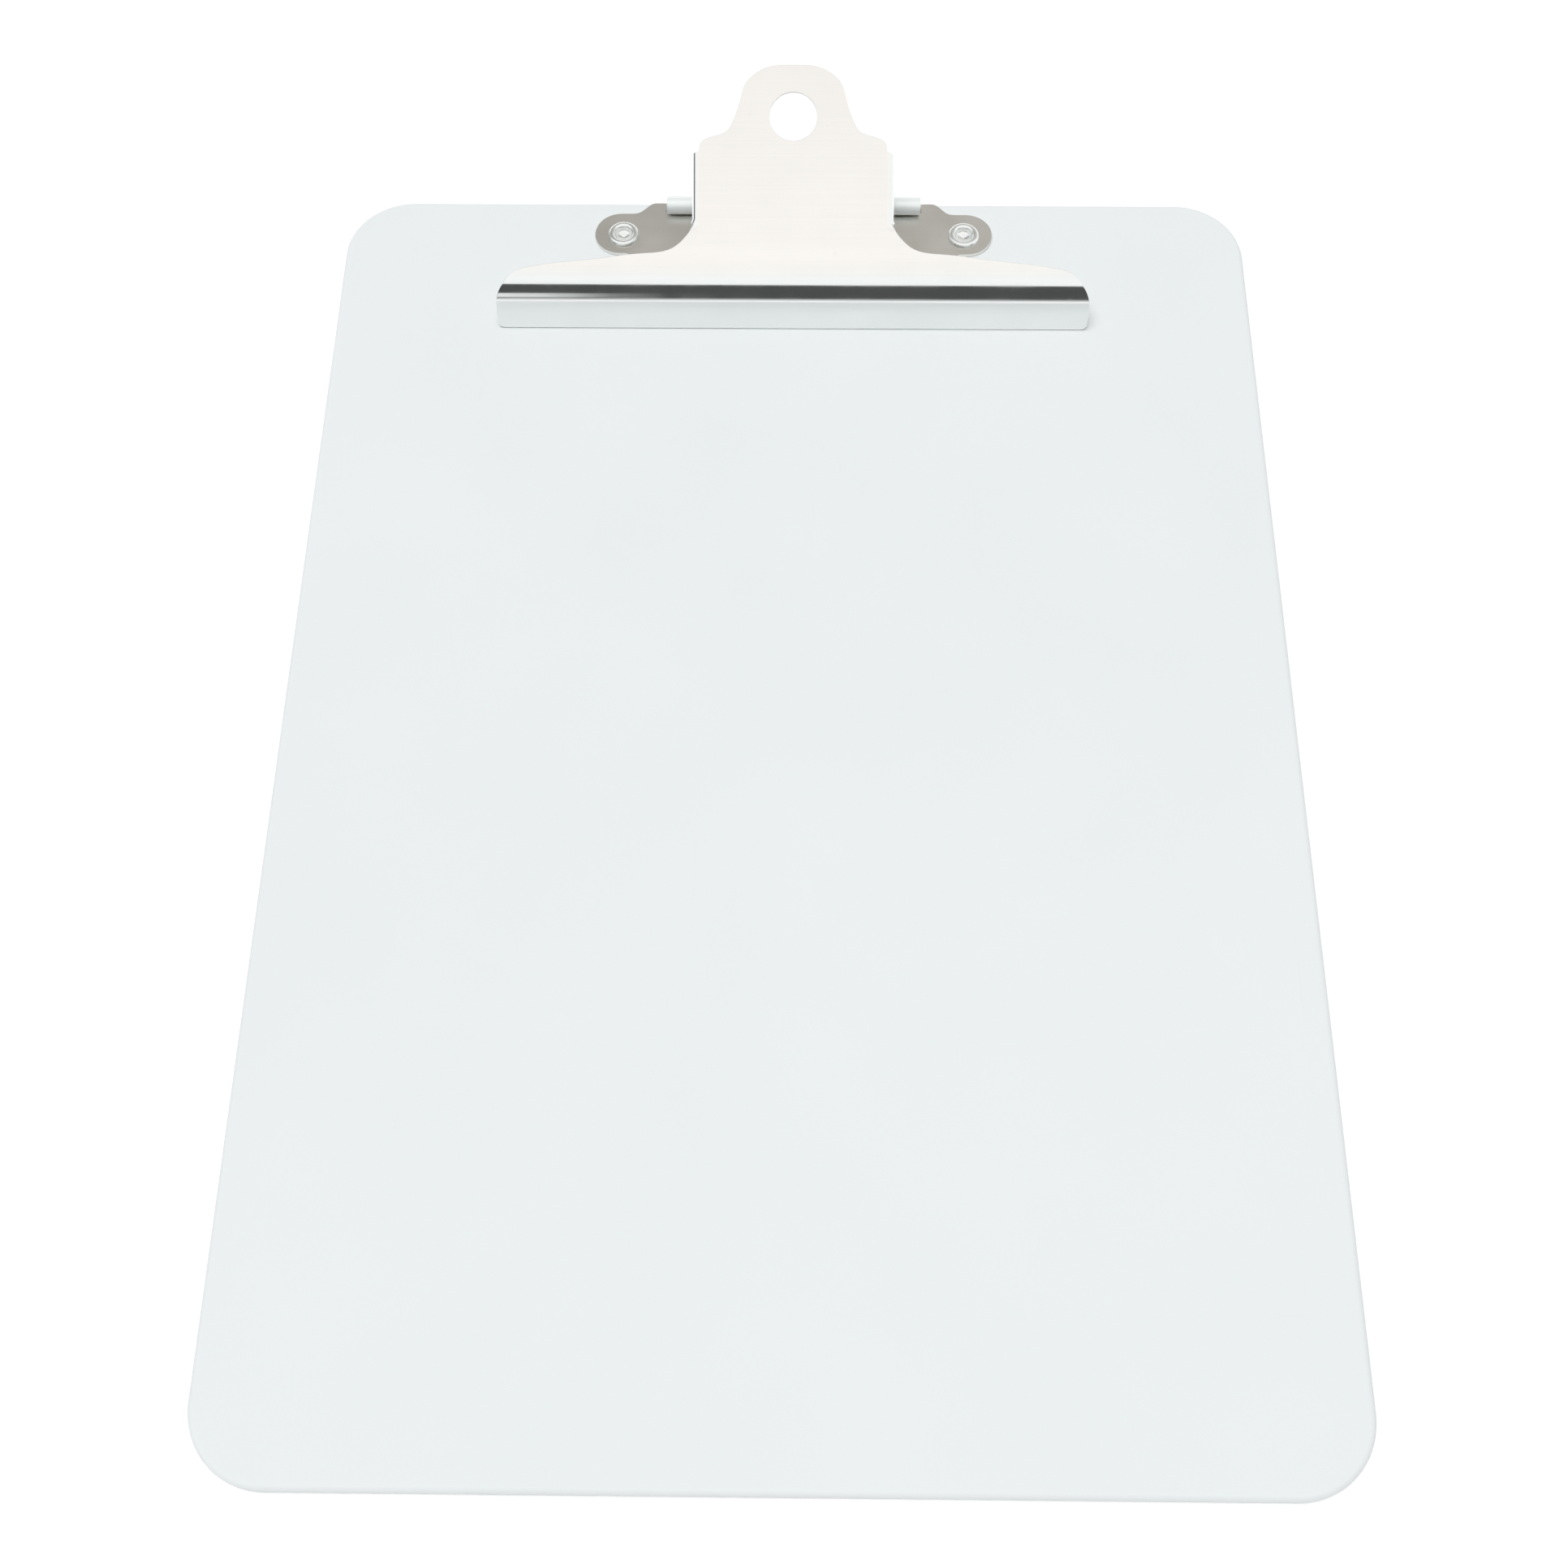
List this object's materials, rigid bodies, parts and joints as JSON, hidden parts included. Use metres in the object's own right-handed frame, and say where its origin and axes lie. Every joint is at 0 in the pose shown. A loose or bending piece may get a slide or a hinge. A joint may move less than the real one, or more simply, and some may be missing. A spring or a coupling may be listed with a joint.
{
  "type": "clipboard with sprung board clip",
  "caption": "Flat rectangular writing board with rounded corners and a wide sprung sheet-metal clip with a hanging hole, riveted near one short edge.",
  "frame": {"origin": "centre of the board's flat back face", "axes": "+X across the board to the right, +Y along the board towards the clip, +Z out of the writing face"},
  "size_m": [0.229, 0.3259, 0.0427],
  "materials": {
    "board_plastic": "fine satin texture, pale cool white",
    "base_steel": "dull nickel-plated steel",
    "lever_nickel": "bright nickel-plated sheet steel, softly polished",
    "pin_steel": "plain steel pin with peened ends",
    "spring_steel": "spring wire",
    "rivet_nickel": "bright plated rivet, clinched",
    "washer_steel": "plated washer"
  },
  "bodies": {
    "base": {"board": "board_plastic", "base_plate": "base_steel", "pivot_pin": "pin_steel", "torsion_spring": "spring_steel", "rivet_left": "rivet_nickel", "rivet_right": "rivet_nickel", "rivet_washer_left": "washer_steel", "rivet_washer_right": "washer_steel"},
    "lever": {"clamp_lever": "lever_nickel"}
  },
  "joints": [
    {"name": "lever_pivot", "type": "hinge", "parent": "base", "child": "lever", "pos_m": [0, 0.1559, 0.0053], "axis": [-1, 0, 0], "range_deg": [0, 28], "stiffness_Nm_per_rad": 0.45, "springref_deg": -68.75, "deforming": ["torsion_spring"]}
  ]
}
